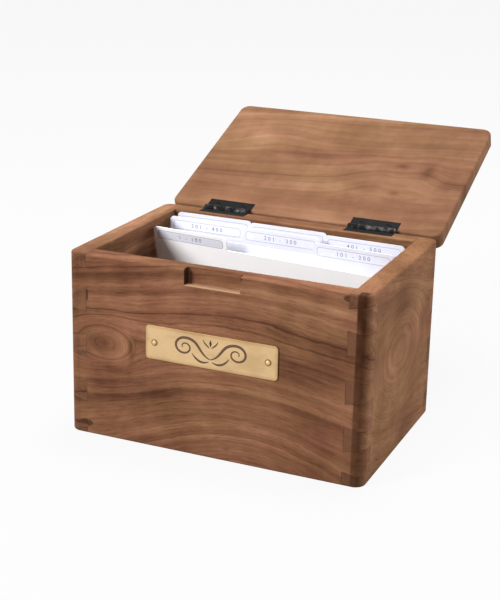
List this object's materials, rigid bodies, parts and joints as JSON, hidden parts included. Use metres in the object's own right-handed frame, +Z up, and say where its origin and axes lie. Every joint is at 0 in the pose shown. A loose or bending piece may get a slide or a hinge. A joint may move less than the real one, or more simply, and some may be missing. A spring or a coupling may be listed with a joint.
{
  "type": "index card box",
  "caption": "Dovetailed wooden index card box with a flat lid on two black butt hinges, a brass label plate, a finger notch and white tabbed dividers.",
  "frame": {"origin": "middle of the box's underside", "axes": "+X to the right seen from the front, +Y from the front to the back, +Z up; the lid is hinged at the back and stands open at rest"},
  "size_m": [0.184, 0.2489, 0.1566],
  "materials": {
    "box_wood": "oiled mid-brown walnut, satin",
    "lid_wood": "oiled mid-brown walnut, satin",
    "hinge_black": "black painted steel, semi-gloss",
    "pin_black": "black steel",
    "screw_black": "black steel",
    "label_brass": "brushed, lightly aged",
    "nail_brass": "polished by handling",
    "divider_card": "matt white stiff card"
  },
  "bodies": {
    "box": {"front_board": "box_wood", "back_board": "box_wood", "left_board": "box_wood", "right_board": "box_wood", "floor_panel": "box_wood", "label_plate": "label_brass", "label_nails": "nail_brass", "left_hinge_box_leaf": "hinge_black", "left_hinge_pin": "pin_black", "left_hinge_box_screws": "screw_black", "right_hinge_box_leaf": "hinge_black", "right_hinge_pin": "pin_black", "right_hinge_box_screws": "screw_black"},
    "lid": {"lid_panel": "lid_wood", "left_hinge_lid_leaf": "hinge_black", "left_hinge_lid_screws": "screw_black", "right_hinge_lid_leaf": "hinge_black", "right_hinge_lid_screws": "screw_black"},
    "divider_1": {"divider_1_left_tab": "divider_card"},
    "divider_2": {"divider_2_middle_tab": "divider_card"},
    "divider_3": {"divider_3_right_tab": "divider_card"},
    "divider_4": {"divider_4_left_tab": "divider_card"},
    "divider_5": {"divider_5_middle_tab": "divider_card"},
    "divider_6": {"divider_6_right_tab": "divider_card"},
    "divider_7": {"divider_7_left_tab": "divider_card"}
  },
  "joints": [
    {"name": "lid_hinge", "type": "hinge", "parent": "box", "child": "lid", "pos_m": [0, 0.064, 0.11115], "axis": [-1, 0, 0], "range_deg": [-158.5, 0]},
    {"name": "divider_1_lift", "type": "slide", "parent": "box", "child": "divider_1", "axis": [0, 0, 1], "range_m": [0, 0.11]},
    {"name": "divider_2_lift", "type": "slide", "parent": "box", "child": "divider_2", "axis": [-0.0001, -0.0052, 1], "range_m": [0, 0.11]},
    {"name": "divider_3_lift", "type": "slide", "parent": "box", "child": "divider_3", "axis": [-0.0005, -0.0209, 0.9998], "range_m": [0, 0.11]},
    {"name": "divider_4_lift", "type": "slide", "parent": "box", "child": "divider_4", "axis": [-0.0017, -0.061, 0.9981], "range_m": [0, 0.11]},
    {"name": "divider_5_lift", "type": "slide", "parent": "box", "child": "divider_5", "axis": [-0.0024, -0.068, 0.9977], "range_m": [0, 0.11]},
    {"name": "divider_6_lift", "type": "slide", "parent": "box", "child": "divider_6", "axis": [-0.0068, -0.1113, 0.9938], "range_m": [0, 0.11]},
    {"name": "divider_7_lift", "type": "slide", "parent": "box", "child": "divider_7", "axis": [-0.0202, -0.2138, 0.9767], "range_m": [0, 0.11]}
  ]
}
